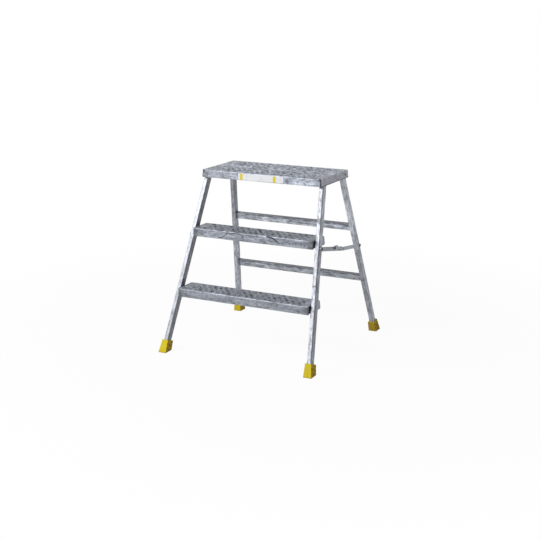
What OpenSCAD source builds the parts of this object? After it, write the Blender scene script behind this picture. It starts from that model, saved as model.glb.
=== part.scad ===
// Folding step trestle: a perforated platform and two steps on a leaning front frame,
// a hinged rear leg frame, and a folding stay on each side that locks the legs open.
// Millimetres. X runs across the trestle, Y from front to back, Z up from the floor.

/* [Platform] */
// Height of the standing surface above the floor
platform_h = 720; // [680:1:780]
// Length of the platform across the trestle
platform_len = 528; // [460:1:600]
// Depth of the platform from front edge to rear edge
platform_depth = 262; // [240:1:300]
// Height of the folded lips and end brackets of the platform
platform_lip = 31; // [28:0.5:35]
// Gap between the two platform planks
plank_gap = 0.4; // [0.2:0.1:1]
// Wall of the end brackets
end_t = 2.5; // [2:0.25:3]
// Width of the end bracket's flange under the planks
end_flange = 25; // [22:1:32]
// Gap between a plank's end and the end bracket
end_gap = 0.3; // [0.2:0.1:0.6]
// Radius of the relief notch at the platform's folded corners
relief_r = 6; // [3:0.5:7]

/* [Steps] */
// Height of the lower step's tread above the floor
step_lower_h = 257; // [235:1:275]
// Height of the upper step's tread above the lower one
step_pitch = 236; // [217:1:247]
// Depth of a step from nose to rear edge
step_depth = 108; // [100:1:118]
// Height of a step's folded lips
step_lip = 34; // [31:0.5:38]
// How far a step's nose stands ahead of the stile's centre line
step_nose = 41; // [37:0.5:46]
// Radius of a step's front corners, seen from above
corner_r = 5; // [4:0.5:8]
// Thickness of the folded sheet of planks and steps
sheet_t = 2.5; // [2:0.25:3]
// Outer radius of the folded edges
bend_r = 4; // [3.5:0.25:6]
// Width of the stiffening return at the foot of each lip
return_w = 9; // [6:0.5:12]

/* [Tread pattern] */
// Diameter of a tread hole
hole_d = 9; // [6:0.5:10]
// Outer diameter of the raised collar round a tread hole
collar_d = 15; // [12:0.5:16.5]
// Height of a raised collar
collar_h = 1.2; // [0.6:0.1:2]
// Hole spacing along a row
hole_pitch_x = 26; // [22:0.5:34]
// Spacing of the rows, which are staggered
hole_pitch_y = 18; // [17:0.5:24]
// Bare length of tread at each end
tread_bare = 42; // [38:1:60]
// Bare width of tread along each edge
tread_edge = 16; // [14:0.5:24]

/* [Front frame] */
// Width of a front stile across the trestle
stile_w = 16.5; // [15:0.5:20]
// Depth of a front stile
front_stile_depth = 32; // [30:0.5:38]
// Wall of the stile tubes
stile_wall = 2; // [1.5:0.25:2.5]
// Corner radius of the stile tubes
stile_r = 2.5; // [2:0.25:3.5]
// Sideways splay of the front stiles in degrees
front_splay = 5.7; // [4.5:0.1:6.5]
// How far the front stile's centre stands behind the platform's front edge, at the lip's foot
front_inset = 34; // [31:0.5:42]
// How far the front stile's centre meets the floor ahead of the platform's front edge
front_reach = 222; // [190:1:250]

/* [Rear frame] */
// Width of a rear stile across the trestle
rear_stile_w = 18.5; // [16:0.5:21]
// Depth of a rear stile
rear_stile_depth = 27; // [25:0.5:30]
// Sideways splay of the rear stiles in degrees
rear_splay = 6.6; // [6:0.1:7]
// How far the rear stile's centre meets the floor behind the platform's rear edge
rear_reach = 168; // [140:1:190]
// Height of the lower rung's centre
rung_lower_h = 245; // [200:1:290]
// Height of the upper rung's centre
rung_upper_h = 474; // [440:1:520]
// Height of a rung's section
rung_h = 31; // [26:0.5:36]
// Depth of a rung's section
rung_d = 14; // [10:0.5:18]
// Wall of the rung tubes
rung_wall = 1.75; // [1.25:0.25:2.25]
// How far a rung's rear face stands inside the stile's rear face
rung_set = 1; // [0.5:0.25:3]

/* [Hinge] */
// How far the hinge axis stands ahead of the platform's rear edge
hinge_inset = 33; // [30:0.5:40]
// How far the hinge axis lies below the standing surface
hinge_drop = 15; // [14:0.5:17]
// Room between the end bracket and the rear stile at the hinge
hinge_gap = 3; // [2.8:0.1:4]
// Angle through which the rear frame folds forward
fold_max = 45; // [36:0.5:46]
// Diameter of the hinge washers
hinge_washer_d = 18; // [15:0.5:20]
// Width across the flats of the hinge nuts
nut_flats = 13; // [12:0.5:14]
// Thickness of the hinge nuts
nut_t = 6.5; // [5:0.5:8]

/* [Stays] */
// How far the stay's pivot on the front stile lies below the upper step's tread
stay_front_drop = 35; // [33:0.5:42]
// Height of the stay's pivot on the rear stile
stay_rear_h = 396; // [380:1:410]
// Length of the front link between its pivots
stay_front_len = 195; // [185:1:210]
// How far the locked elbow sags below the line between the end pivots
stay_sag = 6; // [4:0.5:10]
// Least length of the elbow's shoulder, which holds the two links apart
elbow_shoulder = 2.5; // [2:0.25:3]
// Thickness of the links
link_t = 3; // [2.5:0.25:3.5]
// Height of the front link
front_link_h = 18; // [17:0.5:20]
// Height of the rear link
rear_link_h = 16; // [15:0.5:18]
// Room between a stile's outer face and its link, at the pivot
stay_gap = 2; // [1.8:0.1:3]
// Distance of the stop tab from the elbow
stop_reach = 60; // [50:1:68]
// Length of the stop tab
stop_len = 13; // [10:0.5:15]
// Radius of the round lobe that carries the stop tab
stop_r = 10; // [9:0.5:12]

/* [Fixings] */
// Diameter of the hinge bolts and stay pivots
pivot_d = 8; // [7:0.5:9]
// Diameter of their heads
pivot_head_d = 15; // [13:0.5:16]
// Thickness of their heads
pivot_head_t = 2.6; // [2:0.2:3.4]
// Diameter of the recess in a head
pivot_recess_d = 6; // [4:0.5:7]
// Diameter of a blind rivet's shank
rivet_d = 4.8; // [4:0.1:5]
// Diameter of a blind rivet's head
rivet_head_d = 9.5; // [8:0.1:10.5]
// Height of a blind rivet's head
rivet_head_h = 1.6; // [1:0.1:2]
// Wall of the step brackets
bracket_t = 3; // [2.5:0.25:3.5]
// Width of a step bracket's flange under the tread
bracket_flange = 30; // [26:1:36]
// Radial clearance of every pin and rivet in its hole
run_fit = 0.05; // [0.02:0.01:0.1]
// Clearance between faces that pass each other
face_gap = 0.3; // [0.2:0.05:0.4]

/* [Feet] */
// Height of a foot's mouth at the stile's centre line
foot_h = 44; // [42:1:52]
// Width of a foot's sole across the trestle
foot_w = 34; // [31:0.5:40]
// Length of a foot's sole from front to back
foot_l = 46; // [43:0.5:54]
// Wall of a foot at its mouth
foot_wall = 5; // [4:0.25:6]
// Thickness of the solid sole
foot_sole = 14; // [10:1:18]
// Clearance between a foot's socket and the stile
foot_fit = 0.1; // [0.05:0.05:0.3]
// Width of the grip pockets moulded into a foot's sides
pocket_w = 7.5; // [5:0.5:8]
// Height of a grip pocket
pocket_h = 7.5; // [5:0.5:7.5]
// Depth of a grip pocket
pocket_d = 1.6; // [0.8:0.1:2]

/* [Hidden] */
$fn = 48;

alu = [0.66, 0.68, 0.71];
alu_bright = [0.82, 0.84, 0.87];
steel_dark = [0.25, 0.26, 0.28];
plug_black = [0.08, 0.08, 0.09];
foot_yellow = [0.85, 0.74, 0.12];

// Longer than anything in the trestle: the reach of cutting blocks
far = 2 * platform_h;

// Front to back: the origin lies midway between the front feet's toes and the rear feet's heels
front_toe = front_reach + foot_l / 2;
rear_heel = rear_reach + foot_l / 2;
y_front = front_toe - (front_toe + platform_depth + rear_heel) / 2;
y_rear = y_front + platform_depth;
lip_foot_h = platform_h - platform_lip;

// Centre lines of the stiles in the side view
front_slope = (front_reach + front_inset) / lip_foot_h;
hinge_y = y_rear - hinge_inset;
hinge_z = platform_h - hinge_drop;
rear_slope = (rear_reach + hinge_inset) / hinge_z;
function front_y(z) = y_front - front_reach + front_slope * z;
function rear_y(z) = hinge_y + rear_slope * (hinge_z - z);
front_lean = atan(front_slope * cos(front_splay));
rear_lean = atan(rear_slope * cos(rear_splay));

// Outer faces of the stiles across the trestle
function end_out(z) = platform_len / 2 + (platform_h - z) * tan(front_splay);
function front_out(z) = end_out(z) - end_t / cos(front_splay);
function rear_out(z) = front_out(hinge_z) - hinge_gap + (hinge_z - z) * tan(rear_splay);
function front_in(z) = front_out(z) - stile_w / cos(front_splay);
function rear_in(z) = rear_out(z) - rear_stile_w / cos(rear_splay);

// Height of a stile's top: just under the end bracket's flange
flange_room = 0.5;
flange_foot_h = platform_h - sheet_t - end_t;
stile_top = flange_foot_h - flange_room;
hinge_crown = stile_top - hinge_z;

// Planks and steps
plank_depth = (platform_depth - plank_gap) / 2;
plank_half = front_out(platform_h) - end_gap;
step_upper_h = step_lower_h + step_pitch;
function step_y(h) = front_y(h) - step_nose;
// Half the length of a step at its nose, and behind it, where its ends make room for the brackets
function step_half(h) = front_in(h) - end_gap;
function step_seat(h) = step_half(h) - bracket_t / cos(front_splay);

// Stay: pivots in the side view, and the planes of the two links
stay_front_h = step_upper_h - stay_front_drop;
stay_b = [front_y(stay_front_h), stay_front_h];
stay_c = [rear_y(stay_rear_h), stay_rear_h];
span = stay_c - stay_b;
front_link_angle = atan2(span[1], span[0]) - asin(stay_sag / stay_front_len);
stay_e = stay_b + stay_front_len * [cos(front_link_angle), sin(front_link_angle)];
front_link_x = front_out(stay_front_h) + stay_gap;
rear_link_x = max(rear_out(stay_rear_h) + stay_gap, front_link_x + link_t + face_gap + elbow_shoulder);
stop_along = [-cos(front_link_angle), -sin(front_link_angle)];
stop_up = [-sin(front_link_angle), cos(front_link_angle)];
stop_rise = front_link_h / 2 + face_gap + link_t / 2;
stay_stop = stay_e + stop_reach * stop_along + stop_rise * stop_up;
stay_lobe = stay_stop - stop_r / 2 * stop_up;

// How far a pin runs into its head
head_root = pivot_head_t / 4;
// A blind rivet's swollen tail, and how much its head narrows to the top
bulb_d = rivet_d * 1.5;
bulb_h = 3;
rivet_crown = 0.6;
// How much a pivot's head narrows to the outside
head_crown = 0.75;
spacer_d = pivot_head_d + 3;
// How far a link's round ends stand proud of its edges
eye_rise = 0.5;
// A bolt's end past its nut, and the least stand of a head off a sloping face
bolt_end = 2;
head_stand = 1;
// Overlap of a cut beyond the face it opens
cut = 1;

// Shared shapes

module on_side(side) {
  if (side < 0) mirror([1, 0, 0]) children();
  else children();
}

module rounded_rect(x0, y0, w, h, r) {
  translate([x0 + r, y0]) square([w - 2 * r, h]);
  translate([x0, y0 + r]) square([w, h - 2 * r]);
  for (x = [x0 + r, x0 + w - r], y = [y0 + r, y0 + h - r]) translate([x, y]) circle(r);
}

// A bar with round ends, which stand a little proud of it, from one point to another
module capsule(from, to, r) {
  run = to - from;
  bar = r - eye_rise;
  translate(from) rotate(atan2(run[1], run[0])) translate([0, -bar]) square([norm(run), 2 * bar]);
  translate(from) circle(r);
  translate(to) circle(r);
}

// A side-view outline, with y and z as its axes, made into a plate from x to x + t
module side_plate(x, t) {
  translate([x, 0, 0]) rotate([90, 0, 90]) linear_extrude(t) children();
}

// A round bar along the hinge direction, from x0 to x1
module pin_x(x0, x1, d, p) {
  translate([x0, p[0], p[1]]) rotate([0, 90, 0]) cylinder(d = d, h = x1 - x0);
}

// The front side frame's own axes: x outward from the stile's outer face, z up along it
module in_front_side() {
  translate([front_out(0), 0, 0]) rotate([0, -front_splay, 0]) children();
}

module in_rear_side() {
  translate([rear_out(0), 0, 0]) rotate([0, -rear_splay, 0]) children();
}

// Height along the front side frame of a point at true height z, at the stile's inner face
function front_up(z, x) = (z - x * sin(front_splay)) / cos(front_splay);

module between_heights(z0, z1) {
  intersection() {
    children();
    translate([-far, -far, z0]) cube([2 * far, 2 * far, z1 - z0]);
  }
}

module stile_section(w, depth, grow) {
  rounded_rect(-w - grow, -depth / 2 - grow, w + 2 * grow, depth + 2 * grow, stile_r + grow);
}

module stile_bore(w, depth) {
  rounded_rect(stile_wall - w, stile_wall - depth / 2,
    w - 2 * stile_wall, depth - 2 * stile_wall, stile_r / 3);
}

module front_stile_line() {
  translate([0, front_y(0), 0]) rotate([-front_lean, 0, 0])
    translate([0, 0, -far / 8]) linear_extrude(far) children();
}

module rear_stile_line() {
  translate([0, rear_y(0), 0]) rotate([rear_lean, 0, 0])
    translate([0, 0, -far / 8]) linear_extrude(far) children();
}

// A blind rivet: head above z = 0, shank down through the grip, swollen tail below it
module blind_rivet(grip) {
  cylinder(d1 = rivet_head_d, d2 = rivet_head_d * rivet_crown, h = rivet_head_h);
  translate([0, 0, -grip - bulb_h]) cylinder(d = rivet_d, h = grip + bulb_h + rivet_head_h / 2);
  translate([0, 0, -grip - bulb_h]) cylinder(d = bulb_d, h = bulb_h);
}

// A pivot head at the outer end of a pin, dished at its centre
module pivot_head(x, p) {
  translate([x, p[0], p[1]]) rotate([0, 90, 0]) difference() {
    cylinder(d1 = pivot_head_d, d2 = pivot_head_d * head_crown, h = pivot_head_t);
    translate([0, 0, pivot_head_t / 3]) cylinder(d = pivot_recess_d, h = pivot_head_t);
  }
}

// Everything on the outer side of the front stile's inner face, or of the rear stile's
module outside_front_in() {
  in_front_side() translate([-stile_w, -far, -far]) cube([far, 2 * far, 3 * far]);
}

module outside_rear_in() {
  in_rear_side() translate([-rear_stile_w, -far, -far]) cube([far, 2 * far, 3 * far]);
}

// Everything on the inner side of the outer face of a stile or end bracket
module inside_front_out(offset_out) {
  in_front_side() translate([offset_out - far, -far, -far]) cube([far, 2 * far, 3 * far]);
}

module inside_rear_out() {
  in_rear_side() translate([-far, -far, -far]) cube([far, 2 * far, 3 * far]);
}

// Folded planks, for the platform and the steps

module channel_outer(depth, lip, r) {
  translate([0, -lip]) square([depth, lip - r]);
  translate([r, -r]) square([depth - 2 * r, r]);
  for (x = [r, depth - r]) translate([x, -r]) circle(r);
}

// Cross-section of a folded plank: tread, two lips, and a return at the foot of each lip
module channel(depth, lip) {
  difference() {
    channel_outer(depth, lip, bend_r);
    translate([sheet_t, -sheet_t])
      channel_outer(depth - 2 * sheet_t, lip, bend_r - sheet_t);
  }
  for (x = [0, depth - return_w]) translate([x, -lip]) square([return_w, sheet_t]);
}

// Centres of the staggered tread holes, on a tread of this depth and half length
function tread_rows(depth) = floor((depth - 2 * tread_edge) / hole_pitch_y);
function tread_count(half, odd) =
  floor((2 * (half - tread_bare) - odd * hole_pitch_x) / hole_pitch_x);
function tread_holes(depth, half) = [
  for (row = [0 : tread_rows(depth)])
    let (odd = row % 2, n = tread_count(half, odd))
      for (i = [0 : n])
        [(i - n / 2) * hole_pitch_x, depth / 2 + (row - tread_rows(depth) / 2) * hole_pitch_y]
];

// A cross-section carried along the trestle to both ends
module along(half) {
  translate([-half, 0, 0]) rotate([90, 0, 90]) linear_extrude(2 * half) children();
}

// A plan shape carried down from the tread's top to the foot of the lips
module down(lip) {
  translate([0, 0, -lip]) linear_extrude(lip) children();
}

// Plan of a tread with two rounded front corners
module corner_plan(half, depth, r) {
  translate([-half, r]) square([2 * half, depth - r]);
  translate([r - half, 0]) square([2 * (half - r), depth]);
  for (x = [r - half, half - r]) translate([x, r]) circle(r);
}

// A step's sheet: its front lip runs round both front corners and ends there, so the ends stay open
module cornered_sheet(depth, lip, half) {
  intersection() {
    difference() {
      along(half) channel_outer(depth, lip, bend_r);
      intersection() {
        along(far) translate([sheet_t, -sheet_t])
          channel_outer(depth - 2 * sheet_t, lip, bend_r - sheet_t);
        down(lip) {
          translate([0, sheet_t]) corner_plan(half - sheet_t, depth, corner_r - sheet_t);
          translate([-far, corner_r]) square([2 * far, depth]);
        }
      }
    }
    down(lip) corner_plan(half, depth, corner_r);
  }
  for (y = [0, depth - return_w]) intersection() {
    translate([-half, y, -lip]) cube([2 * half, return_w, sheet_t]);
    down(lip) corner_plan(half, depth, corner_r);
  }
}

// A perforated plank, its front edge at y, its tread's top at z: the first child is its sheet,
// and the second is cut away
module plank(y, z, depth, half) {
  holes = tread_holes(depth, half);
  translate([0, y, z]) {
    difference() {
      children(0);
      translate([0, 0, -2 * sheet_t]) linear_extrude(3 * sheet_t)
        for (p = holes) translate(p) circle(d = hole_d);
      children(1);
    }
    linear_extrude(collar_h) for (p = holes) translate(p) difference() {
      circle(d = collar_d);
      circle(d = hole_d);
    }
  }
}

// Rivet places along the planks' ends: clear of the stiles' tops, as shares of a plank's depth
rivet_shares = [0.62, 0.86];
platform_rivet_x = plank_half - end_flange / 2;
platform_rivet_y = plank_depth * rivet_shares;

module platform_rivet_holes() {
  for (x = [-1, 1], y = platform_rivet_y) translate([x * platform_rivet_x, y, -far / 2])
    cylinder(d = rivet_d + 2 * run_fit, h = far);
}

// The notch that lets the front lip fold down beside the end bracket
module corner_reliefs() {
  for (x = [-1, 1]) translate([x * plank_half, 0, -2 * relief_r])
    cylinder(r = relief_r, h = far);
}

module platform_plank() {
  plank(y_front, platform_h, plank_depth, plank_half) {
    along(plank_half) channel(plank_depth, platform_lip);
    union() {
      platform_rivet_holes();
      corner_reliefs();
    }
  }
}

module platform_plank_front() {
  color(alu) platform_plank();
}

module platform_plank_rear() {
  color(alu) translate([0, y_front + y_rear, 0]) mirror([0, 1, 0]) platform_plank();
}

// End bracket: a leg that follows the splay of the stiles and a flange under the planks

// The two rivets of a stile in its end bracket: their height, and how far from the stile's centre
stile_rivet_h = platform_h - platform_lip * 0.62;
stile_rivet_spread = front_stile_depth * 0.29;

module stile_rivet_places() {
  for (s = [-1, 1]) in_front_side()
    translate([end_t, front_y(stile_rivet_h) + s * stile_rivet_spread, front_up(stile_rivet_h, 0)])
      rotate([0, 90, 0]) children();
}

module platform_end() {
  difference() {
    union() {
      between_heights(lip_foot_h, platform_h) in_front_side()
        translate([0, y_front, 0]) cube([end_t, platform_depth, far]);
      difference() {
        translate([plank_half - end_flange, y_front + bend_r + sheet_t, flange_foot_h])
          cube([far, platform_depth - 2 * (bend_r + sheet_t), end_t]);
        in_front_side() translate([end_t / 2, -far, -far]) cube([far, 2 * far, 3 * far]);
        translate([0, (y_front + y_rear) / 2 - sheet_t - plank_gap - bend_r, 0])
          cube([plank_half + end_gap, 2 * (sheet_t + plank_gap + bend_r), far]);
      }
    }
    pin_x(0, far, pivot_d + 2 * run_fit, [hinge_y, hinge_z]);
    stile_rivet_places() translate([0, 0, -far / 2])
      cylinder(d = rivet_d + 2 * run_fit, h = far);
    translate([0, y_front, 0]) platform_rivet_holes();
    translate([0, y_rear, 0]) mirror([0, 1, 0]) platform_rivet_holes();
  }
}

module platform_end_left() {
  color(alu) on_side(-1) platform_end();
}

module platform_end_right() {
  color(alu) on_side(1) platform_end();
}

module platform_rivets() {
  color(alu_bright)
    for (x = [-1, 1], y = platform_rivet_y, end = [[y_front, 1], [y_rear, -1]])
      translate([x * platform_rivet_x, end[0] + end[1] * y, platform_h])
        blind_rivet(sheet_t + end_t);
}

// Front stiles, riveted inside the end brackets

// The two rivets of a step bracket: how far below the tread, and how far from the stile's centre
step_rivet_drop = step_lip * 0.45;
step_rivet_spread = rivet_head_d * 0.7;

module step_rivet_places(h) {
  z = h - step_rivet_drop;
  for (s = [-1, 1]) in_front_side()
    translate([-stile_w - bracket_t, front_y(z) + s * step_rivet_spread, front_up(z, -stile_w)])
      rotate([0, -90, 0]) children();
}

module front_stile() {
  difference() {
    between_heights(foot_sole, stile_top) in_front_side() front_stile_line() difference() {
      stile_section(stile_w, front_stile_depth, 0);
      stile_bore(stile_w, front_stile_depth);
    }
    pin_x(0, far, pivot_d + 2 * run_fit, stay_b);
    stile_rivet_places() translate([0, 0, -end_t - stile_wall - cut])
      cylinder(d = rivet_d + 2 * run_fit, h = stile_w / 2);
    for (h = [step_lower_h, step_upper_h]) step_rivet_places(h)
      translate([0, 0, -bracket_t - stile_wall - cut])
        cylinder(d = rivet_d + 2 * run_fit, h = stile_w / 2);
  }
}

module front_stile_left() {
  color(alu_bright) on_side(-1) front_stile();
}

module front_stile_right() {
  color(alu_bright) on_side(1) front_stile();
}

module stile_rivets() {
  color(alu_bright) for (side = [-1, 1]) on_side(side)
    stile_rivet_places() blind_rivet(end_t + stile_wall);
}

// Steps, each on a bracket at both ends

// Where a bracket's leg starts behind the nose and where it reaches the lip's full height,
// its height ahead of that, and its tread rivets' spread
bracket_y = step_depth * 0.22;
bracket_deep_y = step_depth * 0.42;
bracket_leg_h = step_lip * 0.7;
tread_rivet_spread = step_depth * 0.17;
// Metal left round the rivets at the ends of a bracket's flange
flange_edge = 2;
function tread_rivet_x(h) = step_seat(h) - bracket_flange / 2;

module tread_rivet_holes(h) {
  for (x = [-1, 1], s = [-1, 1])
    translate([x * tread_rivet_x(h), step_depth / 2 + s * tread_rivet_spread, -far / 2])
      cylinder(d = rivet_d + 2 * run_fit, h = far);
}

// The notches behind a step's nose, in which the bracket legs lie
module step_seats(h) {
  for (x = [-1, 1]) translate([x * (step_seat(h) + far / 2), bracket_y - face_gap + far / 2, 0])
    cube(far, center = true);
}

module step(h) {
  color(alu) plank(step_y(h), h, step_depth, step_half(h)) {
    cornered_sheet(step_depth, step_lip, step_half(h));
    union() {
      tread_rivet_holes(h);
      step_seats(h);
    }
  }
}

module step_lower() {
  step(step_lower_h);
}

module step_upper() {
  step(step_upper_h);
}

// Step bracket: a leg on the stile's inner face that runs to the step's rear edge,
// and a flange under the tread
module step_bracket(h) {
  top = front_up(h, -stile_w);
  leg_h = bracket_leg_h / cos(front_splay);
  deep_h = step_lip / cos(front_splay);
  leg_r = leg_h / 4;
  flange_l = 2 * tread_rivet_spread + rivet_head_d + 2 * flange_edge;
  color(alu) difference() {
    union() {
      in_front_side() side_plate(-stile_w - bracket_t, bracket_t) translate([step_y(h), 0]) {
        rounded_rect(bracket_y, top - leg_h, step_depth - bracket_y, leg_h - collar_h, leg_r);
        rounded_rect(bracket_deep_y, top - deep_h, step_depth - bracket_deep_y, deep_h - collar_h, leg_r);
      }
      difference() {
        translate([step_seat(h) - bracket_flange, step_y(h) + (step_depth - flange_l) / 2,
          h - sheet_t - bracket_t]) cube([far, flange_l, bracket_t]);
        in_front_side() translate([-stile_w - bracket_t / 2, -far, -far])
          cube([far, 2 * far, 3 * far]);
      }
    }
    step_rivet_places(h) translate([0, 0, -far / 2]) cylinder(d = rivet_d + 2 * run_fit, h = far);
    translate([0, step_y(h), h]) tread_rivet_holes(h);
  }
}

module step_bracket_lower_left() {
  on_side(-1) step_bracket(step_lower_h);
}

module step_bracket_lower_right() {
  on_side(1) step_bracket(step_lower_h);
}

module step_bracket_upper_left() {
  on_side(-1) step_bracket(step_upper_h);
}

module step_bracket_upper_right() {
  on_side(1) step_bracket(step_upper_h);
}

module step_rivets() {
  color(alu_bright) for (side = [-1, 1], h = [step_lower_h, step_upper_h]) on_side(side)
    step_rivet_places(h) blind_rivet(bracket_t + stile_wall);
}

module tread_rivets() {
  color(alu_bright)
    for (x = [-1, 1], s = [-1, 1], h = [step_lower_h, step_upper_h])
      translate([x * tread_rivet_x(h), step_y(h) + step_depth / 2 + s * tread_rivet_spread, h])
        blind_rivet(sheet_t + bracket_t);
}

// Plug in the open front end of a step: a cover flush with the rounded corner, between the tread
// and the lip's return, and a spigot inside

// Length of the spigot, thickness of the cover, and how far the cover stands round the spigot
plug_spigot = 12;
plug_t = 3;
plug_rim = 1.5;

module step_plug(h) {
  cover_y = corner_r + face_gap;
  cover_w = bracket_y - face_gap - cover_y;
  foot = sheet_t + run_fit;
  cover_h = step_lip - 2 * foot;
  color(plug_black) translate([step_half(h), step_y(h) + cover_y, h - step_lip + foot]) {
    translate([-plug_t, 0, 0]) cube([plug_t, cover_w, cover_h]);
    translate([-plug_t - plug_spigot, plug_rim, plug_rim])
      cube([plug_spigot + plug_t / 2, cover_w - 2 * plug_rim, cover_h - plug_rim]);
  }
}

module step_plug_lower_left() {
  on_side(-1) step_plug(step_lower_h);
}

module step_plug_lower_right() {
  on_side(1) step_plug(step_lower_h);
}

module step_plug_upper_left() {
  on_side(-1) step_plug(step_upper_h);
}

module step_plug_upper_right() {
  on_side(1) step_plug(step_upper_h);
}

// Feet: tapered mouldings pushed onto the stiles' ends, each mouth square to its stile

// A foot seen from the front, its sides carried on past the mouth: sole and mouth centres,
// half width at the mouth, and how much larger than the foot
module foot_across(sole_c, mouth_c, mouth_half, grow) {
  top_c = 2 * mouth_c - sole_c;
  top_half = 2 * mouth_half - foot_w / 2 + grow;
  sole_half = foot_w / 2 + grow;
  translate([0, far, 0]) rotate([90, 0, 0]) linear_extrude(2 * far) polygon([
    [sole_c - sole_half, 0], [sole_c + sole_half, 0],
    [top_c + top_half, 2 * foot_h], [top_c - top_half, 2 * foot_h]
  ]);
}

// A foot seen from the side: the lean is the stile's, in degrees
module foot_along(sole_c, mouth_c, mouth_half, lean) {
  rim = mouth_half * [cos(lean), -sin(lean)];
  mouth = [mouth_c, foot_h];
  side_plate(-far, 2 * far) polygon([
    [sole_c - foot_l / 2, 0], [sole_c + foot_l / 2, 0], mouth + rim, mouth - rim
  ]);
}

// Rows of pockets up a foot, their spacing up and along it; odd rows stand either side of even ones
pocket_rows = 4;
pocket_step = (foot_h - foot_wall) / (pocket_rows + 1);
pocket_apart = foot_l / 3;

// Staggered pockets: right through, before they are kept to the skin of the foot
module foot_pockets(y_sole, y_mouth) {
  for (row = [0 : pocket_rows - 1]) {
    z = foot_wall + pocket_h / 2 + row * pocket_step;
    mid = y_sole + (y_mouth - y_sole) * z / foot_h;
    for (col = row % 2 == 0 ? [0] : [-1, 1])
      translate([-far, mid + col * pocket_apart - pocket_w / 2, z - pocket_h / 2])
        cube([2 * far, pocket_w, pocket_h]);
  }
}

module foot(x_sole, x_mouth, y_sole, y_mouth, x_half, y_half, lean) {
  color(foot_yellow) difference() {
    intersection() {
      foot_across(x_sole, x_mouth, x_half, 0);
      foot_along(y_sole, y_mouth, y_half, lean);
    }
    difference() {
      foot_pockets(y_sole, y_mouth);
      foot_across(x_sole, x_mouth, x_half, -pocket_d);
    }
    children();
  }
}

module foot_front() {
  half_x = stile_w / 2 / cos(front_splay);
  foot(front_out(0) - half_x, front_out(foot_h) - half_x, front_y(0), front_y(foot_h),
      half_x + foot_wall, front_stile_depth / 2 + foot_wall, atan(front_slope))
    between_heights(foot_sole, far) in_front_side() front_stile_line()
      stile_section(stile_w, front_stile_depth, foot_fit);
}

module foot_rear() {
  half_x = rear_stile_w / 2 / cos(rear_splay);
  foot(rear_out(0) - half_x, rear_out(foot_h) - half_x, rear_y(0), rear_y(foot_h),
      half_x + foot_wall, rear_stile_depth / 2 + foot_wall, -atan(rear_slope))
    between_heights(foot_sole, far) in_rear_side() rear_stile_line()
      stile_section(rear_stile_w, rear_stile_depth, foot_fit);
}

module foot_front_left() {
  on_side(-1) foot_front();
}

module foot_front_right() {
  on_side(1) foot_front();
}

module foot_rear_left() {
  on_side(-1) foot_rear();
}

module foot_rear_right() {
  on_side(1) foot_rear();
}

// Rear frame

// What is left of a rear stile's top so that it can turn under the end bracket's flange
module hinge_swing_outline() {
  top_turn = [-sin(fold_max), cos(fold_max)];
  run_down = [-cos(fold_max), -sin(fold_max)];
  translate([hinge_y, hinge_z]) polygon([
    [0, hinge_crown], [far, hinge_crown], [far, -far], hinge_crown * top_turn + far * run_down,
    hinge_crown * top_turn
  ]);
}

module rear_stile() {
  difference() {
    intersection() {
      between_heights(foot_sole, stile_top) in_rear_side() rear_stile_line() difference() {
        stile_section(rear_stile_w, rear_stile_depth, 0);
        stile_bore(rear_stile_w, rear_stile_depth);
      }
      side_plate(0, far) hinge_swing_outline();
    }
    pin_x(0, far, pivot_d + 2 * run_fit, [hinge_y, hinge_z]);
    pin_x(0, far, pivot_d + 2 * run_fit, stay_c);
  }
}

module rear_stile_left() {
  color(alu) on_side(-1) rear_stile();
}

module rear_stile_right() {
  color(alu) on_side(1) rear_stile();
}

// The space between the two rear stiles, seen from the front
module between_rear_stiles() {
  translate([0, far, 0]) rotate([90, 0, 0]) linear_extrude(2 * far) polygon([
    [-rear_in(0), 0], [rear_in(0), 0], [rear_in(hinge_z), hinge_z], [-rear_in(hinge_z), hinge_z]
  ]);
}

module rung(h) {
  back = (rear_stile_depth - rung_d) / 2 - rung_set;
  color(alu) intersection() {
    between_rear_stiles();
    translate([-far, rear_y(h), h]) rotate([rear_lean, 0, 0]) translate([0, back, 0])
      rotate([90, 0, 90]) linear_extrude(2 * far) difference() {
        rounded_rect(-rung_d / 2, -rung_h / 2, rung_d, rung_h, stile_r);
        rounded_rect(rung_wall - rung_d / 2, rung_wall - rung_h / 2,
          rung_d - 2 * rung_wall, rung_h - 2 * rung_wall, stile_r / 3);
      }
  }
}

module rear_rung_lower() {
  rung(rung_lower_h);
}

module rear_rung_upper() {
  rung(rung_upper_h);
}

// Hinge: bolt through the end bracket and the rear stile, bevelled washer between them, nut inside

hinge_in = rear_in(hinge_z);
nut_r = nut_flats / 2 / cos(30);
nut_x = hinge_in - nut_r * tan(rear_splay) - face_gap;
washer_x = rear_out(hinge_z) + hinge_washer_d / 2 * tan(rear_splay) + face_gap;

module hinge_bolt() {
  head_x = end_out(hinge_z) + head_stand;
  color(steel_dark) {
    pin_x(nut_x - nut_t - bolt_end, head_x + head_root, pivot_d, [hinge_y, hinge_z]);
    difference() {
      union() {
        pin_x(front_out(hinge_z), head_x, pivot_head_d, [hinge_y, hinge_z]);
        pivot_head(head_x, [hinge_y, hinge_z]);
      }
      inside_front_out(end_t);
    }
  }
}

module hinge_bolt_left() {
  on_side(-1) hinge_bolt();
}

module hinge_bolt_right() {
  on_side(1) hinge_bolt();
}

module hinge_washer() {
  color(plug_black) intersection() {
    difference() {
      pin_x(washer_x, front_out(hinge_z) + end_t, hinge_washer_d, [hinge_y, hinge_z]);
      pin_x(0, far, pivot_d + 2 * run_fit, [hinge_y, hinge_z]);
    }
    inside_front_out(0);
  }
}

module hinge_washer_left() {
  on_side(-1) hinge_washer();
}

module hinge_washer_right() {
  on_side(1) hinge_washer();
}

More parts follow.
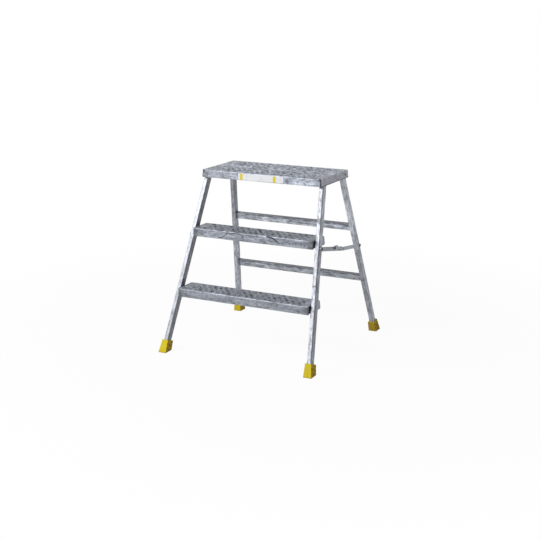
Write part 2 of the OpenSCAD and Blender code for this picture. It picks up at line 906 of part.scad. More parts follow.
module hinge_nut() {
  color(steel_dark) translate([nut_x - nut_t, hinge_y, hinge_z]) rotate([0, 90, 0]) difference() {
    cylinder(r = nut_r, h = nut_t, $fn = 6);
    translate([0, 0, -cut]) cylinder(d = pivot_d + 2 * run_fit, h = nut_t + 2 * cut);
  }
}

module hinge_nut_left() {
  on_side(-1) hinge_nut();
}

module hinge_nut_right() {
  on_side(1) hinge_nut();
}

// Stays: a front link and a rear link on each side

module link_hole(p) {
  translate(p) circle(d = pivot_d + 2 * run_fit);
}

module stay_front_link() {
  color(alu) side_plate(front_link_x, link_t) difference() {
    capsule(stay_b, stay_e, front_link_h / 2);
    link_hole(stay_b);
    link_hole(stay_e);
  }
}

module stay_front_link_left() {
  on_side(-1) stay_front_link();
}

module stay_front_link_right() {
  on_side(1) stay_front_link();
}

// Rear link: its arm past the elbow ends in a round lobe with a tab over the front link's top edge,
// which stops the elbow from sagging any further
module stay_rear_link() {
  color(alu) {
    side_plate(rear_link_x, link_t) difference() {
      union() {
        capsule(stay_c, stay_e, rear_link_h / 2);
        capsule(stay_e, stay_lobe, rear_link_h / 3);
        translate(stay_lobe) circle(stop_r);
      }
      link_hole(stay_c);
      link_hole(stay_e);
    }
    side_plate(front_link_x, rear_link_x + link_t - front_link_x)
      translate(stay_stop) rotate(front_link_angle)
        translate([-stop_len / 2, -link_t / 2]) square([stop_len, link_t]);
  }
}

module stay_rear_link_left() {
  on_side(-1) stay_rear_link();
}

module stay_rear_link_right() {
  on_side(1) stay_rear_link();
}

// Pivot through the front stile, which carries the front link
module stay_front_pivot() {
  head_x = front_link_x + link_t + face_gap;
  tail_x = front_in(stay_front_h);
  color(steel_dark) {
    pin_x(tail_x - head_root, head_x + head_root, pivot_d, stay_b);
    pivot_head(head_x, stay_b);
    difference() {
      pin_x(tail_x - pivot_head_t, tail_x + pivot_head_t, pivot_head_d, stay_b);
      outside_front_in();
    }
  }
}

module stay_front_pivot_left() {
  on_side(-1) stay_front_pivot();
}

module stay_front_pivot_right() {
  on_side(1) stay_front_pivot();
}

// Pivot through the rear stile, which carries the rear link
module stay_rear_pivot() {
  head_x = rear_link_x + link_t + face_gap;
  tail_x = rear_in(stay_rear_h);
  color(steel_dark) {
    pin_x(tail_x - head_root, head_x + head_root, pivot_d, stay_c);
    pivot_head(head_x, stay_c);
    difference() {
      pin_x(tail_x - pivot_head_t, tail_x + pivot_head_t, pivot_head_d, stay_c);
      outside_rear_in();
    }
  }
}

module stay_rear_pivot_left() {
  on_side(-1) stay_rear_pivot();
}

module stay_rear_pivot_right() {
  on_side(1) stay_rear_pivot();
}

// Bevelled spacers between a stile's sloping outer face and its link

module stay_spacer(x_out, x_link, p) {
  difference() {
    pin_x(x_out - spacer_d, x_link - face_gap, spacer_d, p);
    pin_x(0, far, pivot_d + 2 * run_fit, p);
    children();
  }
}

module stay_front_spacer() {
  color(steel_dark) stay_spacer(front_out(stay_front_h), front_link_x, stay_b) inside_front_out(0);
}

module stay_rear_spacer() {
  color(steel_dark) stay_spacer(rear_out(stay_rear_h), rear_link_x, stay_c) inside_rear_out();
}

module stay_front_spacer_left() {
  on_side(-1) stay_front_spacer();
}

module stay_front_spacer_right() {
  on_side(1) stay_front_spacer();
}

module stay_rear_spacer_left() {
  on_side(-1) stay_rear_spacer();
}

module stay_rear_spacer_right() {
  on_side(1) stay_rear_spacer();
}

// Elbow: a headed rivet with a shoulder on the rear link, and its clinched tail on the front link

module elbow_rivet() {
  color(steel_dark) {
    pin_x(front_link_x + link_t + face_gap, rear_link_x, pivot_head_d, stay_e);
    pin_x(front_link_x + link_t + face_gap, rear_link_x + link_t + head_root, pivot_d, stay_e);
    pivot_head(rear_link_x + link_t, stay_e);
  }
}

module elbow_rivet_left() {
  on_side(-1) elbow_rivet();
}

module elbow_rivet_right() {
  on_side(1) elbow_rivet();
}

module elbow_tail() {
  color(steel_dark) {
    pin_x(front_link_x - pivot_head_t / 2, front_link_x, pivot_head_d, stay_e);
    pin_x(front_link_x - pivot_head_t / 2, front_link_x + link_t, pivot_d, stay_e);
  }
}

module elbow_tail_left() {
  on_side(-1) elbow_tail();
}

module elbow_tail_right() {
  on_side(1) elbow_tail();
}

platform_plank_front();
platform_plank_rear();
platform_end_left();
platform_end_right();
platform_rivets();
front_stile_left();
front_stile_right();
stile_rivets();
step_lower();
step_upper();
step_bracket_lower_left();
step_bracket_lower_right();
step_bracket_upper_left();
step_bracket_upper_right();
step_rivets();
tread_rivets();
step_plug_lower_left();
step_plug_lower_right();
step_plug_upper_left();
step_plug_upper_right();
foot_front_left();
foot_front_right();
foot_rear_left();
foot_rear_right();
rear_stile_left();
rear_stile_right();
rear_rung_lower();
rear_rung_upper();
hinge_bolt_left();
hinge_bolt_right();
hinge_washer_left();
hinge_washer_right();
hinge_nut_left();
hinge_nut_right();
stay_front_link_left();
stay_front_link_right();
stay_rear_link_left();
stay_rear_link_right();
stay_front_pivot_left();
stay_front_pivot_right();
stay_rear_pivot_left();
stay_rear_pivot_right();
stay_front_spacer_left();
stay_front_spacer_right();
stay_rear_spacer_left();
stay_rear_spacer_right();
elbow_rivet_left();
elbow_rivet_right();
elbow_tail_left();
elbow_tail_right();
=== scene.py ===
import math

import bpy
import numpy as np
from mathutils import Matrix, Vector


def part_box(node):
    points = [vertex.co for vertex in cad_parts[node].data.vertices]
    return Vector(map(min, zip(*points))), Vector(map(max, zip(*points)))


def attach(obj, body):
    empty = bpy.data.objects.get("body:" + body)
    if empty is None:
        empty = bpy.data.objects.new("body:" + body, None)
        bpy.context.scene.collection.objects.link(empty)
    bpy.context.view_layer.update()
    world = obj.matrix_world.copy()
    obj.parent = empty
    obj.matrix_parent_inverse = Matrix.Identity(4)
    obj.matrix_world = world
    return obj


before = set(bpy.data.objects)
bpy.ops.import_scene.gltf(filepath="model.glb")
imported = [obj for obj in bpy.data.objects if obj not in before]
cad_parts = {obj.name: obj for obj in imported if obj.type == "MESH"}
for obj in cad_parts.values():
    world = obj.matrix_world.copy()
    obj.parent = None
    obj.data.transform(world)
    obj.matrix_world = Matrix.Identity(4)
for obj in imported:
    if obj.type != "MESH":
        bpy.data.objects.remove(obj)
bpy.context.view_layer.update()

# Front stiles: two box tubes of extruded aluminium, riveted inside the platform's ends and pushed into
# the feet. The die leaves fine lines along them, they are scuffed in patches, and dark specks gather
# near the floor. Their greys by face and height are painted light, for how the lamp lights, shades and
# mirrors on each face.

SIDES = ("left", "right")
FRONT_RUN = (0.0998, 0.3714, 1.0)  # how far the left stile goes in x, y and z
STILE_FRONT = (0.0, -0.9374, 0.3483)  # the way its front face looks
STILE_FOOT_Y = -0.326
STILE_GRADE = (0.10, 0.66)  # heights between which one grey goes over to the next
STAIN_FROM, STAIN_TO = 0.005, 0.014  # how far before the middle line the stain starts, and is full
STAIN_RAGGED, STAIN_SHARE = 0.004, 0.75
STAIN_GREY, KNOCK_GREY, SPECK_GREY = 0.10, 0.08, 0.06
RIGHT_KNOCKS = ((0.563, 0.010, 0.70), (0.385, 0.055, 0.22), (0.325, 0.0028, 0.85))
ALUMINIUM_TINT, ALUMINIUM_METAL = (0.945, 1.0, 1.12), 0.35
DIE_LINES = ((420.0, 420.0, 5.0), 2.0, 0.55)  # features to a metre, detail and roughness of a noise
SCUFF_PATCHES = ((75.0, 75.0, 22.5), 4.0, 0.65)
SCUFF_BLOTS = ((130.0, 130.0, 36.4), 3.0, 0.7)
LONG_STREAKS = ((190.0, 190.0, 17.1), 3.0, 0.65)
DIRT_SPECKS = (150.0, 3.0, 0.6)
NOISE_LOW, NOISE_HIGH = 0.3, 0.7  # nearly all of a noise lies between these
RELIEF_STRENGTH, LINE_DEPTH = 0.6, 0.0004


def new_finish(name, **sockets):
    """A material with one Principled shader, whose constant sockets are set by name."""
    finish = bpy.data.materials.new(name)
    finish.use_nodes = True
    shader = finish.node_tree.nodes["Principled BSDF"]
    for socket, value in sockets.items():
        shader.inputs[socket.replace("_", " ")].default_value = value
    return finish


def add_node(finish, kind, feeds, output=0, **settings):
    """Adds a shader node: feeds are its sockets' values, or the outputs that they are linked to."""
    node = finish.node_tree.nodes.new("ShaderNode" + kind)
    for setting, value in settings.items():
        setattr(node, setting, value)
    for socket, value in feeds.items():
        if isinstance(value, bpy.types.NodeSocket):
            finish.node_tree.links.new(value, node.inputs[socket])
        else:
            node.inputs[socket].default_value = value
    return node.outputs[output]


def place(finish):
    """A point's place in the trestle's own frame, in metres."""
    return add_node(finish, "TexCoord", {}, output="Object")


def coordinate(finish, axis):
    """One coordinate of a point's place."""
    return add_node(finish, "SeparateXYZ", {"Vector": place(finish)}, output=axis)


def reach(finish, vector, direction):
    """How far a vector goes in a direction: their dot product."""
    feeds = {0: vector, 1: direction}
    return add_node(finish, "VectorMath", feeds, output="Value", operation="DOT_PRODUCT")


def facing(finish, direction):
    """How squarely a surface faces a direction: the dot product of its normal and that direction."""
    return reach(finish, add_node(finish, "TexCoord", {}, output="Normal"), direction)


def sums(finish, operation, a, b=0.0):
    """One step of arithmetic on two numbers, each a value or another node's output."""
    return add_node(finish, "Math", {0: a, 1: b}, operation=operation)


def product(finish, first, *others):
    """Several numbers multiplied together."""
    for other in others:
        first = sums(finish, "MULTIPLY", first, other)
    return first


def apart(finish, a, b):
    """How far apart two numbers are: the size of their difference."""
    return sums(finish, "ABSOLUTE", sums(finish, "SUBTRACT", a, b))


def mixed(finish, share, first, second):
    """The first number where the share is 0, going over to the second where it is 1."""
    return add_node(finish, "Mix", {0: share, 2: first, 3: second}, data_type="FLOAT")


def rise(finish, value, low, high):
    """A smooth step from 0 to 1 as the value goes from low to high, or down again if low is the higher."""
    feeds = {"Value": value, "From Min": min(low, high), "From Max": max(low, high),
             "To Min": float(low > high), "To Max": float(low <= high)}
    return add_node(finish, "MapRange", feeds, interpolation_type="SMOOTHSTEP")


def noise(finish, point, features, detail, roughness):
    """Smooth cloudy noise about 0.5, with so many features to a metre, one number or one for each axis:
    the point is multiplied by them, so that the noise is drawn out where they are few."""
    features = np.full(3, features).tolist()
    scaled = add_node(finish, "VectorMath", {0: point, 1: features}, operation="MULTIPLY")
    feeds = {"Vector": scaled, "Scale": 1.0, "Detail": detail, "Roughness": roughness}
    return add_node(finish, "TexNoise", feeds, output="Fac")


def swing(finish, value, low, high):
    """Goes evenly from low to high over the range of a noise."""
    feeds = {"Value": value, "From Min": NOISE_LOW, "From Max": NOISE_HIGH,
             "To Min": low, "To Max": high}
    return add_node(finish, "MapRange", feeds)


def varied(finish, value, spread):
    """A factor that follows a noise from 1 less the spread to 1 plus the spread."""
    return swing(finish, value, 1.0 - spread, 1.0 + spread)


def tinted(finish, grey, tint=ALUMINIUM_TINT):
    """The cool colour of mill aluminium, as bright as the grey."""
    return add_node(finish, "VectorMath", {0: tint, "Scale": grey}, operation="SCALE")


def coat(finish, node_names, colour, roughness=None, height=None, depth=0.0):
    """Links a finish's colour, roughness and relief to its shader, and puts it on CAD nodes."""
    feeds = {"Base Color": colour, "Roughness": roughness, "Normal": None}
    if height is not None:
        relief = {"Height": height, "Strength": RELIEF_STRENGTH, "Distance": depth}
        feeds["Normal"] = add_node(finish, "Bump", relief, output="Normal")
    shader = finish.node_tree.nodes["Principled BSDF"]
    for socket, output in feeds.items():
        if output is not None:
            finish.node_tree.links.new(output, shader.inputs[socket])
    for node_name in node_names:
        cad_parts[node_name].material_slots[0].material = finish


def leaning_in(run, side):
    """How far a tube goes in x, y and z: towards the middle plane, from its own side."""
    way = 1 if side == "left" else -1
    return (way * run[0], *run[1:])


def along_tube(finish, run):
    """A point turned so that its z runs along a tube: about x by the tube's lean, about y by its splay."""
    lean = math.atan2(run[1], run[2])
    splay = -math.atan2(run[0], math.hypot(run[1], run[2]))
    return add_node(finish, "Mapping", {"Vector": place(finish), "Rotation": (lean, splay, 0.0)})


def tube_finish(name, node_names, run, front, flank, face, grade, patchy, stain=None, knocks=()):
    """Extruded aluminium. Flank and face are the greys of its sides and front, below and above the
    heights of the grade: painted light, for how the lamp lights, shades and mirrors on each face. They
    are multiplied by noise that is drawn out along the tube: die lines, patches and blots of scuffing that
    swing by as much as it is patchy, and long streaks on the sides. A stain is a direction, and the
    distances in it between which the sides turn dark, with a ragged edge. A knock is the height, half
    length and darkness of a mark across the front. Dark specks lie over it all, and thin out upward."""
    finish = new_finish(name, Metallic=ALUMINIUM_METAL)
    along = along_tube(finish, run)
    lines = noise(finish, along, *DIE_LINES)
    patches = noise(finish, along, *SCUFF_PATCHES)
    blots = noise(finish, along, *SCUFF_BLOTS)
    streaks = noise(finish, along, *LONG_STREAKS)
    specks = rise(finish, noise(finish, along, *DIRT_SPECKS), 0.62, 0.68)
    height = coordinate(finish, "Z")
    upper = rise(finish, height, *grade)
    frontward = rise(finish, facing(finish, front), 0.55, 0.9)
    sideways = sums(finish, "SUBTRACT", 1.0, frontward)

    grey = mixed(finish, frontward, mixed(finish, upper, *flank), mixed(finish, upper, *face))
    streaky = mixed(finish, frontward, varied(finish, streaks, 0.58), 1.0)
    grey = product(finish, grey, varied(finish, patches, patchy), varied(finish, blots, -2.2 * patchy),
                   varied(finish, lines, -0.08), streaky)
    if stain:
        direction, stain_from, stain_to = stain
        ragged = swing(finish, blots, -STAIN_RAGGED, STAIN_RAGGED)
        distance = sums(finish, "ADD", reach(finish, place(finish), direction), ragged)
        stained = product(finish, rise(finish, distance, stain_from, stain_to), sideways, STAIN_SHARE)
        grey = mixed(finish, stained, grey, STAIN_GREY)
    for knock_z, half_length, dark in knocks:
        ragged = swing(finish, blots, -0.3 * half_length, 0.3 * half_length)
        off_knock = apart(finish, sums(finish, "ADD", height, ragged), knock_z)
        knocked = rise(finish, off_knock, 1.4 * half_length, 0.6 * half_length)
        grey = mixed(finish, product(finish, knocked, frontward, dark), grey, KNOCK_GREY)
    speckled = product(finish, specks, mixed(finish, upper, 2.6 * patchy, 1.8 * patchy))
    grey = mixed(finish, speckled, grey, SPECK_GREY)
    coat(finish, node_names, tinted(finish, grey), swing(finish, patches, 0.32, 0.5), lines, LINE_DEPTH)


# Painted light: each stile's greys by face and height are set for how the lamp reaches and mirrors on it.
STILE_GREYS = {
    "left": {"flank": (0.25, 0.26), "face": (0.355, 0.385), "patchy": 0.20},
    "right": {"flank": (0.32, 0.60), "face": (0.45, 0.40), "patchy": 0.28, "knocks": RIGHT_KNOCKS}}
stile_middle = STILE_FOOT_Y * STILE_FRONT[1]
stile_stain = (STILE_FRONT, stile_middle + STAIN_FROM, stile_middle + STAIN_TO)
for side in SIDES:
    tube_finish(f"stile_tube_{side}", [f"front_stile_{side}"], leaning_in(FRONT_RUN, side), STILE_FRONT,
                grade=STILE_GRADE, stain=stile_stain, **STILE_GREYS[side])

# Platform: two planks of folded aluminium sheet side by side, brighter in places along the seam
# between the planks. Dirt stays on the flat of the sheet. The front bend has a painted highlight,
# broken in places, and the lips have painted shade towards their ends, darkest at the right end.

PLANKS = ("platform_plank_front", "platform_plank_rear")
PLATFORM_GREY = 0.31
SHEET_TINT = (0.932, 1.0, 1.15)
FORWARD, UPWARD = (0.0, -1.0, 0.0), (0.0, 0.0, 1.0)
FRONT_BEND = (0.0, -0.707, 0.707)
SEAM_BAND = (0.017, 0.004)  # how far from the seam the brightening starts, and is full
SHADED_END = (0.036, 0.010)  # how far from a lip's end its shading starts, and is full
RIGHT_END_SHADE = (0.0045, 0.0005)  # the same for the painted shade at a lip's right end
SEAM_GREY, SCRATCH_GREY, RIGHT_END_GREY, DEEP_GREY = 0.72, 0.07, 0.05, 0.04
SHEET_CLOUDS = (42.0, 4.0, 0.62)
SHEET_DRIFTS = ((11.0, 26.0, 45.0), 4.0, 0.6)
SHEET_GRAIN, GRAIN_DEPTH = (420.0, 2.0, 0.7), 0.0003
TREAD_BLOTS = ((105.0, 44.0, 60.0), 3.0, 0.7)
SEAM_PATCHES = ((24.0, 60.0, 1.0), 3.0, 0.6)
BEND_HIGHLIGHT_BREAKS = ((30.0, 1.0, 1.0), 4.0, 0.6)
LIP_WANDER = ((9.0, 30.0, 34.0), 4.0, 0.62)


def between(finish, value, low, high):
    """1 where a value lies between two others, and 0 elsewhere."""
    above = sums(finish, "GREATER_THAN", value, low)
    return product(finish, above, sums(finish, "LESS_THAN", value, high))


def scratch_line(finish, path, half_width):
    """A scratch in a front lip, which goes straight from one (x, z) of its path to the next: 1 on that
    line, falling to 0 at half its width above and below."""
    first_x, last_x = path[0][0], path[-1][0]
    line = finish.node_tree.nodes.new("ShaderNodeFloatCurve")
    curve = line.mapping.curves[0]
    for _ in path[2:]:
        curve.points.new(0.5, 0.5)
    for point, (x, z) in zip(curve.points, path):
        point.location = ((x - first_x) / (last_x - first_x), z)
        point.handle_type = "VECTOR"
    line.mapping.update()
    feeds = {"Value": coordinate(finish, "X"), "From Min": first_x, "From Max": last_x}
    along = add_node(finish, "MapRange", feeds)
    finish.node_tree.links.new(along, line.inputs["Value"])
    off_line = apart(finish, coordinate(finish, "Z"), line.outputs[0])
    return product(finish, rise(finish, off_line, half_width, 0.3 * half_width),
                   between(finish, along, 0.0, 1.0), rise(finish, facing(finish, FORWARD), 0.3, 0.7))


def sheet_finish(name, node_names, tread, mottle, lips, seam_y=None, scratches=()):
    """Rolled sheet. The tread is one grey, multiplied by clouds, slow drifts and blots that swing by the
    mottle, and by fine grain, and brighter in places along a seam. The lips go from one grey at the
    left end to another at the right, multiplied by the drifts and blots, with painted shade towards both
    ends and darkest at the right end, and scratches where one noise comes near one level. The front bend
    has a painted highlight, broken in places. Scratches are the path, half width and darkness of deeper
    ones."""
    finish = new_finish(name, Metallic=ALUMINIUM_METAL)
    point = place(finish)
    x = coordinate(finish, "X")
    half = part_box(node_names[0])[1][0]
    clouds = noise(finish, point, *SHEET_CLOUDS)
    drifts = noise(finish, point, *SHEET_DRIFTS)
    grain = noise(finish, point, *SHEET_GRAIN)
    blots = noise(finish, point, *TREAD_BLOTS)

    flat = product(finish, tread, varied(finish, clouds, 0.5 * mottle),
                   varied(finish, drifts, 0.35 * mottle), varied(finish, blots, mottle),
                   varied(finish, grain, -0.1))
    if seam_y is not None:
        seam_patches = rise(finish, noise(finish, point, *SEAM_PATCHES), 0.46, 0.6)
        seam = rise(finish, apart(finish, coordinate(finish, "Y"), seam_y), *SEAM_BAND)
        flat = mixed(finish, product(finish, seam, seam_patches), flat, SEAM_GREY)

    wander = noise(finish, point, *LIP_WANDER)
    scratch = rise(finish, apart(finish, wander, 0.55), 0.020, 0.004)
    shaded = rise(finish, sums(finish, "ABSOLUTE", x), half - SHADED_END[0], half - SHADED_END[1])
    # Painted shade at a lip's right end, which faces away from the lamp.
    cut = rise(finish, x, half - RIGHT_END_SHADE[0], half - RIGHT_END_SHADE[1])
    lip = mixed(finish, rise(finish, x, -half, half), *lips)
    lip = product(finish, lip, varied(finish, drifts, 0.42), varied(finish, blots, 0.25),
                  mixed(finish, shaded, 1.0, 0.58))
    lip = mixed(finish, product(finish, scratch, 0.8), lip, SCRATCH_GREY)
    lip = mixed(finish, product(finish, cut, 0.8), lip, RIGHT_END_GREY)

    upward = rise(finish, facing(finish, UPWARD), 0.4, 0.8)
    on_lip = rise(finish, sums(finish, "ABSOLUTE", facing(finish, FORWARD)), 0.5, 0.9)
    underside = product(finish, tread, varied(finish, clouds, 0.2))
    grey = mixed(finish, upward, mixed(finish, on_lip, underside, lip), flat)
    # The front bend's bright grey is a painted highlight, broken in places by a noise.
    highlight_breaks = rise(finish, noise(finish, point, *BEND_HIGHLIGHT_BREAKS), 0.48, 0.60)
    bend = product(finish, rise(finish, facing(finish, FRONT_BEND), 0.82, 0.98), highlight_breaks, 0.7)
    grey = mixed(finish, bend, grey, 1.7 * lips[0])
    for path, half_width, dark in scratches:
        deep = product(finish, scratch_line(finish, path, half_width), dark)
        grey = mixed(finish, deep, grey, DEEP_GREY)
    colour = tinted(finish, grey, SHEET_TINT)
    coat(finish, node_names, colour, swing(finish, clouds, 0.36, 0.55), grain, GRAIN_DEPTH)


sheet_finish("platform_sheet", PLANKS, PLATFORM_GREY, mottle=1.0, lips=(0.42, 0.57),
             seam_y=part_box(PLANKS[0])[1][1])

# Raised holes: each hole of a tread is pressed up from below, so that its rim stands proud for grip.
# Boots wear the crowns of the rims bright, with a painted highlight on them too, and the bores of some
# holes are painted black as shade.

HOLE_PITCH_X, HOLE_PITCH_Y = 0.026, 0.018
TREAD_BARE, TREAD_EDGE = 0.042, 0.016  # how far the holes keep from a tread's ends, and from its edges
COLLAR_H = 0.0012
RIM_SIDES = 12
RIM_PROFILE = np.array([(0.00805, 0.0), (0.0079, 0.00125), (0.0062, 0.00195), (0.00446, 0.0013),
                        (0.00442, -0.0024)])  # radius, and height over the foot of the collar
RIM_CROWN_SHARE = np.array([0.5, 0.6, 1.0, 0.2, 0.0])  # how far up the crown each of those lies
# The bore grey is painted shade; the crown greys are partly wear and partly a painted highlight.
BORE_GREY, PLATFORM_CROWN = 0.015, 0.58


def hole_places(node_name):
    """Centres of a tread's holes: rows at an even spacing about the tread's middle, each an even row of
    holes about the middle plane, with one hole less in every second row. The rows count from the nose."""
    low, high = np.array(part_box(node_name))
    depth, half = high[1] - low[1], high[0]
    last_row = int((depth - 2 * TREAD_EDGE) / HOLE_PITCH_Y)
    from_nose = -1 if node_name == PLANKS[1] else 1
    rows = []
    for row in range(last_row + 1):
        last = int((2 * (half - TREAD_BARE) - row % 2 * HOLE_PITCH_X) / HOLE_PITCH_X)
        x = (np.arange(last + 1) - last / 2) * HOLE_PITCH_X
        y = (low[1] + high[1]) / 2 + from_nose * (row - last_row / 2) * HOLE_PITCH_Y
        rows.append(np.stack([x, np.full_like(x, y), np.full_like(x, high[2] - COLLAR_H)], axis=-1))
    return np.concatenate(rows)


def quad_piece(name, points, quads):
    """A smooth piece, from an array of points and one of the four points of each quad."""
    mesh = bpy.data.meshes.new(name)
    mesh.from_pydata(points.reshape(-1, 3).tolist(), [], quads.reshape(-1, 4).tolist())
    mesh.polygons.foreach_set("use_smooth", np.ones(len(mesh.polygons), bool))
    piece = bpy.data.objects.new(name, mesh)
    bpy.context.scene.collection.objects.link(piece)
    return piece


def hole_rims(name, node_names):
    """One ring for each hole: a closed profile of radius and height, turned about the hole's axis. The
    rim attribute says how far up its crown a point lies, and is 0 in the bore. A second attribute is one
    random number from 0 to 1 for each hole, which sets its painted bore shade and how bright its crown is."""
    centres = np.concatenate([hole_places(node_name) for node_name in node_names])
    turn = np.linspace(0.0, 2 * math.pi, RIM_SIDES, endpoint=False)
    ring = np.stack([RIM_PROFILE[:, :1] * np.cos(turn), RIM_PROFILE[:, :1] * np.sin(turn),
                     RIM_PROFILE[:, 1:] * np.ones(RIM_SIDES)], axis=-1)
    points = centres[:, None, None, :] + ring
    corner = np.arange(points.size // 3).reshape(points.shape[:3])
    after, inner = np.roll(corner, -1, axis=2), np.roll(corner, -1, axis=1)
    quads = np.stack([corner, after, np.roll(after, -1, axis=1), inner], axis=-1)
    piece = quad_piece(name, points, quads)
    hole_shade_and_polish = np.random.default_rng(len(centres)).random(len(centres))
    for attribute, values in (("rim", RIM_CROWN_SHARE[None, :, None]), ("hole_shade_and_polish", hole_shade_and_polish[:, None, None])):
        values = np.broadcast_to(values, points.shape[:3]).astype(np.float32)
        piece.data.attributes.new(attribute, "FLOAT", "POINT").data.foreach_set("value", values.ravel())
    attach(piece, "front_frame")
    return piece


def rim_finish(name, piece, crown, tread, mottle):
    """Pressed metal: a bore painted black as shade where the hole's random number is low, the tread's grey
    at the foot, and a crown that is brighter as that number grows, partly wear and partly a painted
    highlight, multiplied by the blots of the tread."""
    finish = new_finish(name, Metallic=ALUMINIUM_METAL, Roughness=0.4)
    rim = add_node(finish, "Attribute", {}, output="Fac", attribute_name="rim")
    hole_shade_and_polish = add_node(finish, "Attribute", {}, output="Fac", attribute_name="hole_shade_and_polish")
    crown_polish_and_highlight = mixed(finish, hole_shade_and_polish, 0.45 * crown, 1.45 * crown)
    metal = mixed(finish, rise(finish, rim, 0.45, 0.95), tread, crown_polish_and_highlight)
    blots = noise(finish, place(finish), *TREAD_BLOTS)
    metal = product(finish, metal, varied(finish, blots, mottle))
    bore = mixed(finish, rise(finish, hole_shade_and_polish, 0.1, 0.35), BORE_GREY, tread)
    grey = mixed(finish, rise(finish, rim, 0.2, 0.5), bore, metal)
    coat(finish, [], tinted(finish, grey, SHEET_TINT))
    piece.data.materials.append(finish)


rim_finish("platform_rim_metal", hole_rims("platform_hole_rims", PLANKS), PLATFORM_CROWN, PLATFORM_GREY,
           mottle=0.9)

# End brackets of the platform: folded aluminium plate that planks and front stiles are riveted to.
# The plate is left as it comes from the mill. Its faces are scuffed, and the right one has painted shade
# along its foot and its front edge.

PLATE_GRAIN, PLATE_PATCHES = ((300.0, 12.0, 300.0), 3.0, 0.6), (55.0, 4.0, 0.6)
EDGE_BAND = (0.0055, 0.0020)  # how far above the foot the painted shade starts, and is full
EDGE_SHADE_GREY = 0.07


def plate_finish(name, node_names, grain_looks, dull, bright, edge_shade=0.7):
    """Cut plate: fine grain drawn out one way, over soft patches of duller and brighter metal, and painted
    shade along the foot and the front edge."""
    finish = new_finish(name, Metallic=ALUMINIUM_METAL)
    point = place(finish)
    grain = noise(finish, point, *grain_looks)
    patches = noise(finish, point, *PLATE_PATCHES)
    grey = product(finish, swing(finish, patches, dull, bright), swing(finish, grain, 1.12, 0.85))
    foot_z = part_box(node_names[0])[0][2]
    foot = rise(finish, coordinate(finish, "Z"), foot_z + EDGE_BAND[0], foot_z + EDGE_BAND[1])
    edge = sums(finish, "MAXIMUM", foot, rise(finish, facing(finish, FORWARD), 0.6, 0.9))
    grey = mixed(finish, product(finish, edge, edge_shade), grey, EDGE_SHADE_GREY)
    coat(finish, node_names, tinted(finish, grey), swing(finish, patches, 0.34, 0.52), grain, GRAIN_DEPTH)


for side, dull, bright, edge_shade in (("left", 0.5, 0.8, 0.0), ("right", 0.30, 0.69, 0.85)):
    plate_finish(f"end_plate_{side}", [f"platform_end_{side}"], PLATE_GRAIN, dull, bright, edge_shade)

# Label on the platform's front lip: a thin white film with two plain yellow bars.
# It is stuck to the flat of the lip, and its surface is a little scuffed.

LABEL_FROM, LABEL_TO = (-0.0995, 0.6905), (0.1010, 0.7155)  # x and z of two opposite corners
LABEL_CORNER, LABEL_FILM, LABEL_GLUE = 0.0016, 0.0003, 0.00005
LABEL_COLUMNS, LABEL_ROWS = 90, 16
LABEL_BARS = ((-0.0920, -0.0795), (0.0555, 0.0680))
FILM_WHITE, FILM_SCUFF = (0.95, 0.96, 0.99, 1.0), (0.80, 0.82, 0.85, 1.0)
BAR_YELLOW = (0.84, 0.68, 0.03, 1.0)
FILM_CLOUDS = (140.0, 4.0, 0.6)


def grid_piece(name, points):
    """A piece of quads over a grid of points: an array of rows by columns by 3."""
    rows, columns = points.shape[:2]
    corner = np.arange(rows * columns).reshape(rows, columns)
    quads = np.stack([corner[:-1, :-1], corner[:-1, 1:], corner[1:, 1:], corner[1:, :-1]], axis=-1)
    return quad_piece(name, points, quads)


def label_film(front_y):
    """A flat grid whose corners are drawn in to an arc: the part of a point that lies past the corner's
    centre is cut to the corner's radius. Its outer ring of points lies back on the lip."""
    low, high = np.array(LABEL_FROM), np.array(LABEL_TO)
    across = np.linspace(low[0], high[0], LABEL_COLUMNS)
    upright = np.linspace(low[1], high[1], LABEL_ROWS)
    flat = np.stack(np.meshgrid(across, upright), axis=-1)
    core = np.clip(flat, low + LABEL_CORNER, high - LABEL_CORNER)
    past = flat - core
    length = np.maximum(np.linalg.norm(past, axis=-1, keepdims=True), LABEL_CORNER)
    flat = core + past * LABEL_CORNER / length
    proud = np.full(flat.shape[:2], LABEL_FILM)
    proud[[0, -1], :] = 0.0
    proud[:, [0, -1]] = 0.0
    return np.stack([flat[..., 0], front_y - proud, flat[..., 1]], axis=-1)


def blended(finish, share, first, second):
    """The first colour where the share is 0, going over to the second where it is 1."""
    return add_node(finish, "Mix", {0: share, 6: first, 7: second}, output=2, data_type="RGBA")


def film_finish(name, piece):
    """Scuffed white film: clouds of noise go over to a greyer white. A bar is yellow between its ends."""
    finish = new_finish(name, Roughness=0.38)
    scuffs = rise(finish, noise(finish, place(finish), *FILM_CLOUDS), 0.4, 0.75)
    colour = blended(finish, scuffs, FILM_WHITE, FILM_SCUFF)
    for bar_from, bar_to in LABEL_BARS:
        on_bar = between(finish, coordinate(finish, "X"), bar_from, bar_to)
        colour = blended(finish, on_bar, colour, BAR_YELLOW)
    coat(finish, [], colour)
    piece.data.materials.append(finish)


label = grid_piece("label", label_film(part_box("platform_plank_front")[0][1] - LABEL_GLUE))
film_finish("label_film", label)
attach(label, "front_frame")

# Steps: the same folded and pressed sheet as the platform, notched behind the nose for their brackets.
# Their treads and lips are given darker greys than the platform's, and their front lips are scratched.

